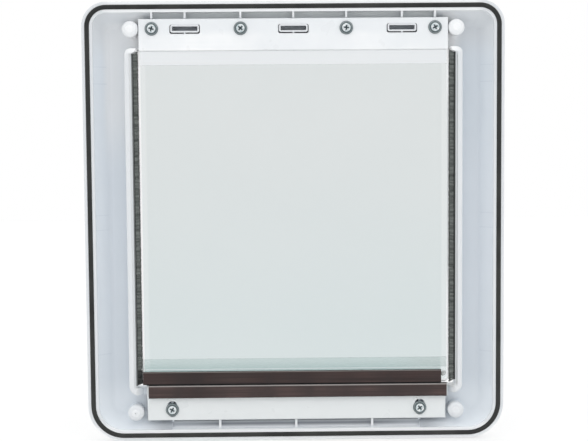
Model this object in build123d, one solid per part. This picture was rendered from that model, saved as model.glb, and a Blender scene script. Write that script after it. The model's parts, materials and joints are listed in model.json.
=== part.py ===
from build123d import *
import os

# Dog door, the half that carries the flap. Millimetres, +X to the right, +Z up.
# The door side faces -Y and the room side faces +Y. The rim's bearing plane is Y = 0.
# The origin is the middle of the four corner bosses, on that plane.

# Flap: a clear flexible sheet that hangs from the head bar
flap_width = 250.2
flap_length = 269.4
flap_thickness = 2.0
flap_corner = 4.0
hinge_play = 0.3
head_band_height = 8.6
head_band_thickness = 0.4
head_band_start = 1.5
carrier_height = 20.4
carrier_thickness = 1.4

# Magnet strips, one on the flap's lower edge and one on the sill bar
magnet_short = 6.6
magnet_height = 10.4
magnet_thickness = 3.0
magnet_edge = 0.3
flap_magnet_shift = -3.0
sill_magnet_shift = 1.5
sill_gap = 0.8

# Head bar, which clamps the flap's top edge
bar_height = 25.5
bar_thickness = 3.0
bar_recess = 1.0
bar_inset = 1.0
bar_edge = 0.6
fixing_inset = 7.9
outer_screw_inset = 10.5
inner_screw_x = 42.4
strip_inset = 2.6

# Hollow pegs that locate the bar and the flap
peg_from_screw = 26.6
peg_width = 23.0
peg_height = 6.2
peg_wall = 1.3
peg_round = 1.6
peg_rise = 0.6
peg_side_play = 0.7
peg_top_play = 0.1
peg_bottom_play = 1.0
crush_rib_width = 1.2

# Broad-headed screws
screw_radius = 1.95
screw_head_radius = 5.4
screw_head_height = 2.5
screw_crown_radius = 3.4
screw_bite = 5.0
screw_hole_play = 0.1
screw_clear_radius = 2.5
recess_span = 4.4
recess_wing = 1.1
recess_depth = 1.6
boss_wall = 2.2

# Sill bar, with two upright slots for setting its height
sill_bar_height = 29.15
sill_bar_thickness = 2.0
sill_bar_short = 3.8
sill_bar_shift = 1.1
flange_height = 18.55
flange_short = 2.2
flange_shift = 0.5
sill_screw_inset = 21.8
sill_edge = 0.5
sill_screw_drop = 20.3
slot_width = 8.0
slot_above = 7.1
slot_below = 6.1
sill_travel_up = 0.5

# Brush strips beside the flap
brush_base_thickness = 1.0
brush_width = 5.0
pile_length = 3.9
pile_tip = 1.2
brush_play = 0.4
brush_end_gap = 2.4
left_brush_extra = 3.0

# Tunnel round the passage
lip_width = 5.4
head_wall = 2.7
ceiling_rise = 1.8
lip_above_ceiling = 1.7
ceiling_ramp_run = 5.4
ceiling_ramp_drop = 2.6
sill_upstand = 2.2
lip_top_corner = 5.0
lip_bottom_corner = 7.4
lip_chamfer = 0.8
mouth_run = 1.7
bar_end_play = 0.4
head_ramp_run = 1.6
sill_ramp_run = 5.6
slide_play = 0.3

# Rim, tray and front of the moulded frame
outer_lip = 2.4
groove_width = 3.8
groove_depth = 2.2
inner_lip = 2.3
rim_edge = 5.5
tray_step = 4.0
slope_run = 10.8
side_floor = 14.4
floor_depth = 13.0
floor_thickness = 2.6
bevel_run = 16.0
pocket_depth = 8.5
top_corner = 19.6
bottom_corner = 29.0
least_corner = 5.0
floor_round = 5.0
head_margin = 21.7
sill_margin = 22.5
rib_thickness = 1.6
bottom_rib_thickness = 2.0

# Gasket in the rim
gasket_play = 0.1
gasket_rise = 1.0
gasket_chamfer = 0.9

# Corner bosses for the screws that come through the door
boss_radius = 6.5
boss_gap = 0.4
boss_chamfer = 2.4
boss_drop = 22.4
pilot_radius = 0.6
pilot_depth = 9.0
gusset_reach = 1.5
bottom_rib_x = 62.5

# Depths
seat_y = bar_recess + bar_thickness + flap_thickness
flap_front = bar_recess + bar_thickness
flap_back = seat_y
axis_y = (flap_front + flap_back) / 2
magnet_front = flap_front - magnet_thickness
slide_y = flap_front + sill_bar_thickness
mouth_depth = axis_y - brush_width / 2
front_y = floor_depth + floor_thickness

# Heights, counted from the middle of the corner bosses
hinge_drop = flap_thickness / 2 + hinge_play
row_above_axis = hinge_drop + bar_height - fixing_inset
row_span = row_above_axis + flap_length + sill_gap + boss_drop
upper_row = row_span / 2
lower_row = -row_span / 2
axis_z = upper_row - row_above_axis
bar_bottom = axis_z + hinge_drop
bar_top = bar_bottom + bar_height
flap_bottom = axis_z - flap_length
sill_top = flap_bottom - sill_gap
sill_bottom = sill_top - sill_bar_height
sill_screw_z = sill_top - sill_screw_drop
frame_top = upper_row + head_margin
frame_bottom = lower_row - sill_margin
ceiling = axis_z + ceiling_rise
passage_floor = sill_top - sill_upstand
right_brush_bottom = sill_top + sill_travel_up + brush_end_gap
left_brush_bottom = right_brush_bottom - left_brush_extra
magnet_top = flap_bottom + magnet_height

# Widths, counted from the middle
flap_half = flap_width / 2
bar_half = flap_half - bar_inset
pile_face = flap_half + brush_play
base_face = pile_face + pile_length
passage_half = base_face + brush_base_thickness
lip_half = passage_half + lip_width
rim_width = outer_lip + groove_width + inner_lip
frame_half = lip_half + side_floor + slope_run + rim_width
boss_x = bar_half + boss_gap + boss_radius
magnet_length = flap_width - magnet_short
sill_bar_length = flap_width - sill_bar_short
flange_length = sill_bar_length - flange_short
outer_screw_x = bar_half - outer_screw_inset
peg_x = outer_screw_x - peg_from_screw
sill_screw_x = sill_bar_length / 2 - sill_screw_inset
peg_slot_length = peg_width + 2 * peg_side_play
peg_slot_height = peg_height + peg_top_play + peg_bottom_play
peg_slot_middle = upper_row + (peg_top_play - peg_bottom_play) / 2
head_screws = (-outer_screw_x, -inner_screw_x, inner_screw_x, outer_screw_x)
pegs = (-peg_x, 0, peg_x)
sill_screws = (-sill_screw_x, sill_screw_x)
bottom_ribs = (-bottom_rib_x, 0, bottom_rib_x)


def on_door(y):
    """Plane parallel to the door at depth y, seen from the door side."""
    return Plane(origin=(0, y, 0), x_dir=(1, 0, 0), z_dir=(0, -1, 0))


def raised(shape, base_y, top_y):
    """A flat shape that stands from depth base_y towards the door, up to depth top_y."""
    return extrude(on_door(base_y) * shape, base_y - top_y)


def block(left, right, bottom, top, near_y, far_y):
    """A plain rectangular strip between two depths."""
    return raised(panel(left, right, bottom, top), far_y, near_y)


def panel(left, right, bottom, top):
    """A rectangle given by its four sides."""
    return Pos((left + right) / 2, (bottom + top) / 2) * Rectangle(right - left, top - bottom)


def outline(half, bottom, top, bottom_radius, top_radius):
    """A rectangle with one corner radius below and another above."""
    face = panel(-half, half, bottom, top)
    face = fillet(face.vertices().group_by(Axis.Y)[0], bottom_radius)
    return fillet(face.vertices().group_by(Axis.Y)[-1], top_radius)


def tray(inset):
    """The frame's outline drawn inwards, its corners concentric while they can be."""
    low = max(bottom_corner - inset, least_corner)
    high = max(top_corner - inset, least_corner)
    return outline(frame_half - inset, frame_bottom + inset, frame_top - inset, low, high)


def tapered(inset_near, near_y, inset_far, far_y):
    """A straight-sided taper between two of the frame's outlines."""
    return loft([on_door(near_y) * tray(inset_near), on_door(far_y) * tray(inset_far)], ruled=True)


def disc(x, z, radius):
    """A round outline at a place on the door plane."""
    return Pos(x, z) * Circle(radius)


def passage_outline(spread):
    """The clear passage, spread at its sides and floor, its ceiling ramped down at both ends."""
    half = passage_half + spread
    floor = passage_floor - spread
    ramp_z = ceiling - ceiling_ramp_drop
    ramp_x = passage_half - ceiling_ramp_run
    sides = Polyline(
        (-half, floor), (half, floor), (half, ramp_z),
        (ramp_x, ceiling), (-ramp_x, ceiling), (-half, ramp_z), close=True)
    face = make_face(sides)
    return fillet(face.vertices().group_by(Axis.Y)[0], lip_bottom_corner - lip_width + spread)


def tunnel():
    """The lip round the passage, drafted at its mouth and cut down where the two bars cross it."""
    lip_top = ceiling + lip_above_ceiling
    lip = outline(lip_half, passage_floor - lip_width, lip_top, lip_bottom_corner, lip_top_corner)
    ring = raised(lip, floor_depth, 0)
    ring = chamfer(ring.faces().sort_by(Axis.Y)[0].edges(), lip_chamfer)
    ring -= raised(passage_outline(0), floor_depth, 0)
    mouth = [on_door(0) * passage_outline(mouth_run), on_door(mouth_depth) * passage_outline(0)]
    ring -= loft(mouth, ruled=True)
    head_half = flap_half + bar_end_play
    sill_half = sill_bar_length / 2 + abs(sill_bar_shift) + bar_end_play
    ring -= bar_notch(head_half, head_ramp_run, seat_y, axis_z, frame_top)
    ring += block(-head_half, head_half, ceiling, ceiling + head_wall, seat_y, floor_depth)
    return ring - bar_notch(sill_half, sill_ramp_run, slide_y + slide_play, frame_bottom, sill_top)


def bar_notch(half, ramp_run, depth_y, bottom, top):
    """The way cut through the lip for a bar, with sloping ends."""
    wide = half + ramp_run
    ends = make_face(Polyline((-half, depth_y), (half, depth_y), (wide, 0), (-wide, 0), close=True))
    return extrude(Pos(0, 0, bottom) * ends, top - bottom)


def pegs_solid():
    """Three hollow pegs, each with a crush rib in the middle of its lower side."""
    top_y = bar_recess - peg_rise
    shell = RectangleRounded(peg_width, peg_height, peg_round)
    hollow = Rectangle(peg_width - 2 * peg_wall, peg_height - 2 * peg_wall)
    nib = Pos(0, -(peg_height + peg_bottom_play) / 2) * Rectangle(crush_rib_width, peg_bottom_play)
    return [raised(Pos(x, upper_row) * (shell - hollow + nib), floor_depth, top_y) for x in pegs]


def ribs():
    """Thin ribs from the rim down to the head bar, and from the rim up to the tunnel."""
    top_rib = panel(-rib_thickness / 2, rib_thickness / 2, bar_top + slide_play, frame_top - rim_width)
    half = bottom_rib_thickness / 2
    lip_bottom = passage_floor - lip_width
    bottom_rib = panel(-half, half, frame_bottom + rim_width, lip_bottom)
    gusset = panel(-half, half, sill_bottom - gusset_reach, lip_bottom)
    low_y = slide_y + slide_play
    solids = [raised(Pos(x, 0) * top_rib, floor_depth, bar_recess) for x in pegs + head_screws]
    solids += [raised(Pos(x, 0) * bottom_rib, floor_depth, low_y) for x in bottom_ribs]
    solids += [raised(Pos(x, 0) * gusset, floor_depth, low_y) for x in sill_screws]
    return solids


def screw_bosses():
    """Square bosses behind the head bar and the sill bar."""
    side = 2 * (screw_radius + screw_hole_play + boss_wall)
    post = Rectangle(side, side)
    solids = [raised(Pos(x, upper_row) * post, floor_depth, seat_y) for x in head_screws]
    solids += [raised(Pos(x, sill_screw_z) * post, floor_depth, slide_y) for x in sill_screws]
    return solids


def corner_bosses():
    """Four bosses with sloping shoulders, in line with the pegs above."""
    solids = []
    for x in (-boss_x, boss_x):
        for z in (lower_row, upper_row):
            boss = raised(disc(x, z, boss_radius), floor_depth, 0)
            solids.append(chamfer(boss.faces().sort_by(Axis.Y)[0].edges(), boss_chamfer))
    return solids


def screw_holes():
    """Holes for the bars' screws and pilot marks in the corner bosses."""
    radius = screw_radius + screw_hole_play
    depth = seat_y + screw_bite + screw_hole_play
    holes = [raised(disc(x, upper_row, radius), depth, 0) for x in head_screws]
    holes += [raised(disc(x, sill_screw_z, radius), depth, 0) for x in sill_screws]
    for x in (-boss_x, boss_x):
        holes += [raised(disc(x, z, pilot_radius), pilot_depth, 0) for z in (lower_row, upper_row)]
    return holes


def make_frame():
    """The moulded frame: a tray with a tunnel, and what stands on its floor."""
    shell = raised(tray(0), rim_edge, 0) + tapered(0, rim_edge, bevel_run, front_y)
    cavity = tapered(rim_width, tray_step, rim_width + slope_run, floor_depth)
    cavity = fillet(cavity.faces().sort_by(Axis.Y)[-1].edges(), floor_round)
    cavity += raised(tray(rim_width), tray_step, 0)
    cavity += block(-outer_screw_x, outer_screw_x, upper_row, frame_top - rim_width, 0, pocket_depth)
    cavity += block(-sill_screw_x, sill_screw_x, frame_bottom + rim_width, lower_row, 0, pocket_depth)
    inside = tunnel() + pegs_solid() + ribs() + screw_bosses() + corner_bosses()
    solid = (shell - cavity) + (inside & shell)
    solid -= raised(passage_outline(0), front_y, floor_depth)
    solid -= raised(tray(outer_lip) - tray(outer_lip + groove_width), groove_depth, 0)
    return solid - screw_holes()


def make_gasket():
    """The rubber cord in the rim's groove, its outer edges bevelled."""
    ring = tray(outer_lip + gasket_play) - tray(outer_lip + groove_width - gasket_play)
    cord = raised(ring, groove_depth, -gasket_rise)
    return chamfer(cord.faces().sort_by(Axis.Y)[0].edges(), gasket_chamfer)


def make_brush_base(side, bottom):
    """The stiff backing strip of a brush, on the tunnel's wall."""
    inner, outer = sorted((side * base_face, side * passage_half))
    top = ceiling - ceiling_ramp_drop
    return block(inner, outer, bottom, top, axis_y - brush_width / 2, axis_y + brush_width / 2)


def make_brush_pile(side, bottom):
    """The pile of a brush, narrowed towards its tips."""
    near = axis_y - brush_width / 2
    far = axis_y + brush_width / 2
    tip = side * pile_face
    root = side * base_face
    section = Polyline((root, near), (tip, near + pile_tip), (tip, far - pile_tip), (root, far), close=True)
    top = ceiling - ceiling_ramp_drop
    return extrude(Pos(0, 0, bottom) * make_face(section), top - bottom, dir=(0, 0, 1))


def make_head_bar():
    """The flat bar with its screw holes and peg slots."""
    face = panel(-bar_half, bar_half, bar_bottom, bar_top)
    bar = raised(face, bar_recess + bar_thickness, bar_recess)
    bar = chamfer(bar.faces().sort_by(Axis.Y)[0].edges(), bar_edge)
    slot = RectangleRounded(peg_slot_length, peg_slot_height, peg_round)
    return bar - clamp_cuts(slot, Circle(screw_clear_radius), bar_recess + bar_thickness, bar_recess)


def clamp_cuts(slot, hole, far_y, near_y):
    """A slot round each peg, which hang on the peg's upper side, and a hole round each screw."""
    shapes = [Pos(x, peg_slot_middle) * slot for x in pegs]
    shapes += [Pos(x, upper_row) * hole for x in head_screws]
    return [raised(shape, far_y, near_y) for shape in shapes]


def make_hinge_strip():
    """The flap's top edge, clamped between the bar and the frame, with square punched holes."""
    face = panel(-bar_half, bar_half, bar_bottom, bar_top - strip_inset)
    slot = Rectangle(peg_slot_length, peg_slot_height)
    hole = Rectangle(2 * screw_clear_radius, 2 * screw_clear_radius)
    return raised(face, flap_back, flap_front) - clamp_cuts(slot, hole, flap_back, flap_front)


def make_flap_sheet():
    """The sheet below the hinge line, with a rounded top edge and rounded lower corners."""
    face = outline(flap_half, flap_bottom, axis_z, flap_corner, flap_thickness / 4)
    sheet = raised(panel(-flap_half, flap_half, axis_z - flap_thickness, axis_z), flap_back, flap_front)
    sheet += raised(face, flap_back, flap_front)
    edge = Plane.YZ * Pos(axis_y, axis_z) * Circle(flap_thickness / 2)
    return sheet + extrude(edge, flap_half, both=True)


def make_head_band():
    """The strip bonded behind the flap's top."""
    top = axis_z - head_band_start
    back = flap_back + head_band_thickness
    return block(-flap_half, flap_half, top - head_band_height, top, flap_back, back)


def make_magnet_carrier():
    """The clear strip bonded behind the flap's lower edge."""
    face = panel(-flap_half, flap_half, flap_bottom, flap_bottom + carrier_height)
    face = fillet(face.vertices().group_by(Axis.Y)[0], flap_corner)
    return raised(face, flap_back + carrier_thickness, flap_back)


def make_magnet(shift, top):
    """A flat magnet strip on the door side of what carries it."""
    left = shift - magnet_length / 2
    strip = block(left, left + magnet_length, top - magnet_height, top, magnet_front, flap_front)
    return chamfer(strip.faces().sort_by(Axis.Y)[0].edges(), magnet_edge)


def make_sill_bar():
    """The sill strip: a plate behind the magnet and a slotted flange below it."""
    flange_top = sill_bottom + flange_height
    half = sill_bar_length / 2
    flange_half = flange_length / 2
    face = panel(sill_bar_shift - half, sill_bar_shift + half, flange_top, sill_top)
    face += panel(flange_shift - flange_half, flange_shift + flange_half, sill_bottom, flange_top)
    middle = sill_screw_z + (slot_above - slot_below) / 2
    slot = SlotOverall(slot_above + slot_below, slot_width, rotation=90)
    bar = raised(face, slide_y, flap_front)
    bar = chamfer(bar.faces().sort_by(Axis.Y)[0].edges(), sill_edge)
    return bar - [raised(Pos(x, middle) * slot, slide_y, flap_front) for x in sill_screws]


def make_screw(x, z, seat):
    """A broad-headed screw with a cross recess, its sloping head on the face at depth seat."""
    length = seat_y + screw_bite - seat
    section = Polyline(
        (0, -length), (screw_radius, -length), (screw_radius, 0), (screw_head_radius, 0),
        (screw_crown_radius, screw_head_height), (0, screw_head_height), close=True)
    body = revolve(Plane.XZ * make_face(section), Axis.Z)
    wings = Rectangle(recess_span, recess_wing) + Rectangle(recess_wing, recess_span)
    body -= extrude(Pos(0, 0, screw_head_height) * wings, -recess_depth)
    return Plane(origin=(x, seat, z), x_dir=(1, 0, 0), z_dir=(0, -1, 0)) * body


nodes = {
    "frame": make_frame(),
    "rim_gasket": make_gasket(),
    "left_brush_base": make_brush_base(-1, left_brush_bottom),
    "left_brush_pile": make_brush_pile(-1, left_brush_bottom),
    "right_brush_base": make_brush_base(1, right_brush_bottom),
    "right_brush_pile": make_brush_pile(1, right_brush_bottom),
    "head_bar": make_head_bar(),
    "hinge_strip": make_hinge_strip(),
    "flap_sheet": make_flap_sheet(),
    "flap_head_band": make_head_band(),
    "magnet_carrier": make_magnet_carrier(),
    "flap_magnet": make_magnet(flap_magnet_shift, magnet_top),
    "sill_bar": make_sill_bar(),
    "sill_magnet": make_magnet(sill_magnet_shift, sill_top),
    "sill_screw_left": make_screw(-sill_screw_x, sill_screw_z, flap_front),
    "sill_screw_right": make_screw(sill_screw_x, sill_screw_z, flap_front),
}
for number, place in enumerate(head_screws, start=1):
    nodes[f"head_screw_{number}"] = make_screw(place, upper_row, bar_recess)

os.makedirs("parts", exist_ok=True)
for name, solid in nodes.items():
    export_step(solid, f"parts/{name}.step")
print("pattern", 2 * boss_x, row_span, "axis", axis_y, axis_z)
print("frame", 2 * frame_half, frame_top - frame_bottom)
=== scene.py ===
import json
import math
from types import SimpleNamespace

import bmesh
import bpy
import numpy as np
from mathutils import Matrix, Vector


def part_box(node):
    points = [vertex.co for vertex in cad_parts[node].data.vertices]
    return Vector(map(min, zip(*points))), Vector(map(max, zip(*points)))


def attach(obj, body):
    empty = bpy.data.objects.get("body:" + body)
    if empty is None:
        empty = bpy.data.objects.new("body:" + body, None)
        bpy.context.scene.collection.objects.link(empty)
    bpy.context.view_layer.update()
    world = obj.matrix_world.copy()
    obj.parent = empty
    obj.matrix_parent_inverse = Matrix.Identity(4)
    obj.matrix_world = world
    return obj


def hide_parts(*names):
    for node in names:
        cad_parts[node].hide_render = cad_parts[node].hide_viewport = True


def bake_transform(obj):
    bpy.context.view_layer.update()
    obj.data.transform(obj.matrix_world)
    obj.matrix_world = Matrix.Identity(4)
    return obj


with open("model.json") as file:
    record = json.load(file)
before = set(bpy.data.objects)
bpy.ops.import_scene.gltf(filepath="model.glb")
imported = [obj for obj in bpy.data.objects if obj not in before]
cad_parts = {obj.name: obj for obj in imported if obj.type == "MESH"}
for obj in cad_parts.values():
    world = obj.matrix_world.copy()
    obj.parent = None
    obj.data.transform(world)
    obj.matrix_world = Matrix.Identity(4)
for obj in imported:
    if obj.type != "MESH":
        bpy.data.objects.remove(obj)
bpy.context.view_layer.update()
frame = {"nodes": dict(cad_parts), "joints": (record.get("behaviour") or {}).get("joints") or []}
nodes = frame["nodes"]

MM = 0.001
QUARTER_TURN = math.pi / 2
FULL_TURN = 2 * math.pi


def colour(red, green, blue):
    """An opaque colour."""
    return (red, green, blue, 1.0)


def span(node):
    """Lowest and highest corner of a node as arrays."""
    return tuple(np.array(corner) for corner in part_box(node))


# Camera, found from the rim's outline in a picture 588 pixels wide
PICTURE_WIDTH = 588
FOCAL_PIXELS = 1300
SENSOR_WIDTH = 36.0
CAMERA_PLACE = (-0.0133, -1.0484, 0.0771)
CAMERA_YAW = 0.69
CAMERA_PITCH = -4.14
CAMERA_ROLL = -0.43

# Light tent: from the camera's side, from below, from above and from behind the door
FRONT_LIGHT = colour(0.60, 0.63, 0.67)
LOW_LIGHT = colour(0.80, 0.80, 0.81)
HIGH_LIGHT = colour(1.72, 1.72, 1.70)
FAR_LIGHT = colour(0.66, 0.66, 0.67)
WHITE = colour(1.0, 1.0, 1.0)

# Floor
FLOOR_REACH = 2.5
FLOOR_DROP = 0.5 * MM
FLOOR_WHITENESS = 0.6

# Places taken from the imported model
HINGE = next(j for j in frame["joints"] if j["name"] == "flap_swing")
AXIS_Z = HINGE["pos_m"][2]
FLAP_LOW, FLAP_HIGH = span("flap_sheet")
BAND_LOW, BAND_HIGH = span("flap_head_band")
CARRIER_LOW, CARRIER_HIGH = span("magnet_carrier")
BAR_LOW, BAR_HIGH = span("head_bar")
FRAME_LOW = span("frame")[0]
GASKET_LOW, GASKET_HIGH = span("rim_gasket")
SILL_LOW, SILL_HIGH = span("sill_bar")
MAGNET_HIGH = span("flap_magnet")[1]

# Flap
SKIN = 0.05 * MM
FLAP_EDGE = 1.5 * MM
FLAP_CORNER = 4.0 * MM
BEHIND_BAR = 1.4 * MM
STRIP_SIDE = 0.5 * MM

# Rows and columns of points on a sheet
ROUND_ROWS = 7
CORNER_ROWS = 13
HEAD_ROWS = 40
BODY_ROWS = 60
FACE_COLUMNS = 49
EDGE_COLUMNS = 13

# Ribbon of painted highlight along the flap's right edge
GLINT_START = 10 * MM
GLINT_WIDTH = (0.02, 1.6)
GLINT_FOOT_ROWS = 7

# Gasket, concentric with the rim's corners
GASKET_LOW_CORNER = 26.5 * MM
GASKET_HIGH_CORNER = 17.1 * MM
GASKET_HALF = 1.8 * MM
GASKET_CROWN = 0.95 * MM
GASKET_SQUARENESS = 0.8
CORNER_POINTS = 25

# Screws
SCREW_TWISTS = {
    "head_screw_1": 0.3, "head_screw_2": 0.75, "head_screw_3": 0.1, "head_screw_4": 1.1,
    "sill_screw_left": 0.55, "sill_screw_right": 0.9}
SCREW_SIDES = 96
SCREW_HEAD = 2.5 * MM
CROWN_RADIUS = 4.15 * MM
CROWN_RISE = 1.62 * MM
CROWN_SQUARENESS = 3.2
WASHER_ROLL = 0.45 * MM
WASHER_SIDE = 0.35 * MM
WASHER_GAP = 0.02 * MM
SHANK_RADIUS = 1.95 * MM
SHANK_POINT = 2.0 * MM
RECESS_DEPTH = 1.5 * MM
RECESS_REACH = 2.3 * MM
RECESS_ARM = 0.72 * MM
RECESS_SLOPE = 0.3 * MM
TICK_DEPTH = 0.16 * MM
TICK_HALF = 0.2 * MM
TICK_SLOPE = 0.15 * MM
TICK_FROM, TICK_TO = 0.8 * MM, 3.2 * MM

# Corner bosses: place across and up, radius of the pilot mark, brightness of the crown and of the ring, which
# is painted light, brighter on the upper bosses
BOSS_PLACES = (
    (-131.0, -155.75, 0.45, 0.4, 0.0), (131.0, -155.75, 0.0, 0.3, 0.0),
    (-131.0, 155.75, 0.0, 1.0, 0.55), (131.0, 155.75, 0.0, 1.0, 0.7))
BOSS_SIDES = 64
BOSS_RADIUS = 6.54 * MM
BOSS_SHOULDER = 3.0 * MM
BOSS_LIFT = 0.04 * MM
BOSS_CROWN = 0.45 * MM
BOSS_SIDE = 7.0 * MM
PILOT_DEPTH = 1.2 * MM

# Glue at the flap magnet's right end
GLUE_PLACE = (121.0 * MM, -125.4 * MM)
GLUE_HALF_WIDTH = 2.0 * MM
GLUE_HALF_HEIGHT = 2.3 * MM
GLUE_RISE = 0.8 * MM

# Brushes
FIBRES_PER_MM = 40
FIBRE_RADIUS = 0.11 * MM
FIBRE_OVERREACH = 0.25 * MM
FIBRE_BOW = 0.18 * MM
FIBRE_HEAD = 1.9 * MM
FIBRE_HEAD_REACH = 1.2 * MM
FIBRE_FOOT = {-1: 1.3 * MM, 1: -2.9 * MM}
FIBRE_FOOT_REACH = 1.6 * MM

# Sink marks on the tray's slopes: height and width in millimetres
SINK_MARKS = ((126.0, 0.7), (112.4, 0.9), (6.0, 0.7), (-6.0, 0.7), (-108.0, 0.9))
SINK_STRENGTH = 0.5

# Rise of depth with height on the bevel of the frame's room side
BEVEL_SLOPE = 0.631


def lattice(rows, columns, round_rows=False, round_columns=False):
    """Corner numbers of the quads between neighbours on a grid, joined end to start where it runs round."""
    r = np.arange(rows if round_rows else rows - 1)[:, None]
    c = np.arange(columns if round_columns else columns - 1)[None, :]
    down = (r + 1) % rows
    right = (c + 1) % columns
    corners = (r * columns + c, r * columns + right, down * columns + right, down * columns + c)
    return np.stack(np.broadcast_arrays(*corners), -1).reshape(-1, 4)


def piece(name, points, faces, look, slot, joined=True, **values):
    """Puts points and quads into a mesh at the origin, closes its seams and turns its faces outwards."""
    mesh = bpy.data.meshes.new(name)
    mesh.from_pydata(points.reshape(-1, 3).tolist(), [], faces.tolist())
    for key, value in values.items():
        layer = mesh.attributes.new(key, "FLOAT", "POINT")
        layer.data.foreach_set("value", np.ravel(value).astype(np.float32))
    if joined:
        shell = bmesh.new()
        shell.from_mesh(mesh)
        bmesh.ops.remove_doubles(shell, verts=shell.verts, dist=1e-6)
        bmesh.ops.recalc_face_normals(shell, faces=shell.faces)
        if shell.calc_volume(signed=True) < 0:
            bmesh.ops.reverse_faces(shell, faces=shell.faces)
        shell.to_mesh(mesh)
        shell.free()
    mesh.shade_smooth()
    mesh.materials.append(look)
    obj = bpy.data.objects.new(name, mesh)
    bpy.context.collection.objects.link(obj)
    return obj


def sheet_surface(low, high, corner, edge, dense):
    """A sheet with rounded edges: a loop round its section, carried down its height.

    Across, the loop follows the near face, half an ellipse round the right edge, the far face and half an
    ellipse round the left edge. Down the height, the half width follows the two round lower corners, and
    the thickness follows a half-round at the top and at the bottom. The value with it is the distance
    from the outline.
    """
    centre = (low + high) / 2
    half = (high - low) / 2
    bottom, top, thick = low[2], high[2], half[1]
    fade = thick * (1 - np.cos(np.linspace(0, QUARTER_TURN, ROUND_ROWS)))
    foot = corner * (1 - np.cos(np.linspace(0, QUARTER_TURN, CORNER_ROWS)))
    upper = np.linspace(thick, dense, HEAD_ROWS)
    rest = np.linspace(top - dense, bottom + corner, BODY_ROWS)
    level = np.concatenate((top - fade, top - upper[1:], rest[1:], bottom + foot[-2::-1], bottom + fade))
    level = np.unique(np.round(level, 5))
    level[[0, -1]] = bottom, top
    level = level[::-1, None]
    drop = np.clip(corner - (level - bottom), 0, corner)
    width = half[0] - corner + np.sqrt(corner**2 - drop**2)
    near_end = np.clip(np.minimum(level - bottom, top - level) / thick, 0, 1)
    depth = thick * np.sqrt(1 - (1 - near_end) ** 2)
    flat = np.linspace(-1, 1, FACE_COLUMNS)
    turn = np.linspace(-QUARTER_TURN, QUARTER_TURN, EDGE_COLUMNS)[1:-1]
    one = np.ones_like(turn)
    along = np.concatenate((flat, one, flat[::-1], -one))
    bulge = np.concatenate((0 * flat, edge * np.cos(turn), 0 * flat, -edge * np.cos(turn)))
    side = np.concatenate((-1 + 0 * flat, np.sin(turn), 1 + 0 * flat, -np.sin(turn)))
    x = along * (width - edge) + bulge
    y = side * depth
    z = np.broadcast_to(level, x.shape)
    beyond_x = np.abs(x) - (half[0] - corner)
    beyond_z = bottom + corner - z
    in_corner = (beyond_x > 0) & (beyond_z > 0)
    straight = np.minimum(half[0] - np.abs(x), z - bottom)
    away = np.where(in_corner, corner - np.hypot(beyond_x, beyond_z), straight)
    points = np.stack((centre[0] + x, centre[1] + y, z), -1)
    return points, lattice(*x.shape, round_columns=True), away


def rim_path(half, bottom, top, low_radius, high_radius):
    """Points and outward directions round a rectangle with round corners, one arc after the other."""
    quarter = np.linspace(0, QUARTER_TURN, CORNER_POINTS)
    angle = np.concatenate([quarter + start for start in (-QUARTER_TURN, 0, QUARTER_TURN, math.pi)])
    low_centre, high_centre = bottom + low_radius, top - high_radius
    radius = np.repeat((low_radius, high_radius, high_radius, low_radius), CORNER_POINTS)
    sign_x = np.repeat((1, 1, -1, -1), CORNER_POINTS)
    centre_z = np.repeat((low_centre, high_centre, high_centre, low_centre), CORNER_POINTS)
    out = np.stack((np.cos(angle), 0 * angle, np.sin(angle)), -1)
    centre = np.stack((sign_x * (half - radius), 0 * angle, centre_z), -1)
    return centre + radius[:, None] * out, out


def gasket_surface():
    """The cord's section, two straight sides under a flattened half-ellipse, carried round the rim's path."""
    path, out = rim_path(
        GASKET_HIGH[0] - GASKET_HALF, GASKET_LOW[2] + GASKET_HALF, GASKET_HIGH[2] - GASKET_HALF,
        GASKET_LOW_CORNER - GASKET_HALF, GASKET_HIGH_CORNER - GASKET_HALF)
    turn = np.linspace(0, math.pi, 17)
    across = GASKET_HALF * np.sign(np.cos(turn)) * np.abs(np.cos(turn)) ** GASKET_SQUARENESS
    depth = GASKET_LOW[1] + GASKET_CROWN - GASKET_CROWN * np.sin(turn)
    across = np.concatenate(((GASKET_HALF,), across, (-GASKET_HALF,)))
    depth = np.concatenate(((GASKET_HIGH[1],), depth, (GASKET_HIGH[1],)))
    inwards = depth[None, :, None] * np.array((0, 1, 0))
    points = path[:, None] + across[None, :, None] * out[:, None] + inwards
    return points, lattice(*points.shape[:2], round_rows=True, round_columns=True)


def turned(x, z, seat, radius, height):
    """Rings of points round an axis along Y: radius out from it and height towards the door."""
    angle = np.linspace(0, FULL_TURN, radius.shape[1], endpoint=False)
    places = (x + radius * np.cos(angle), seat - height, z + radius * np.sin(angle))
    return np.stack(np.broadcast_arrays(*places), -1)


def soft_step(value):
    """Zero below 0, one above 1, and a smooth cubic between."""
    value = np.clip(value, 0, 1)
    return value * value * (3 - 2 * value)


def rise_past(value, start, slope):
    """A soft step of a length in millimetres that starts at one value and is done a slope later."""
    return soft_step((value - start * MM) / (slope * MM))


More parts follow.
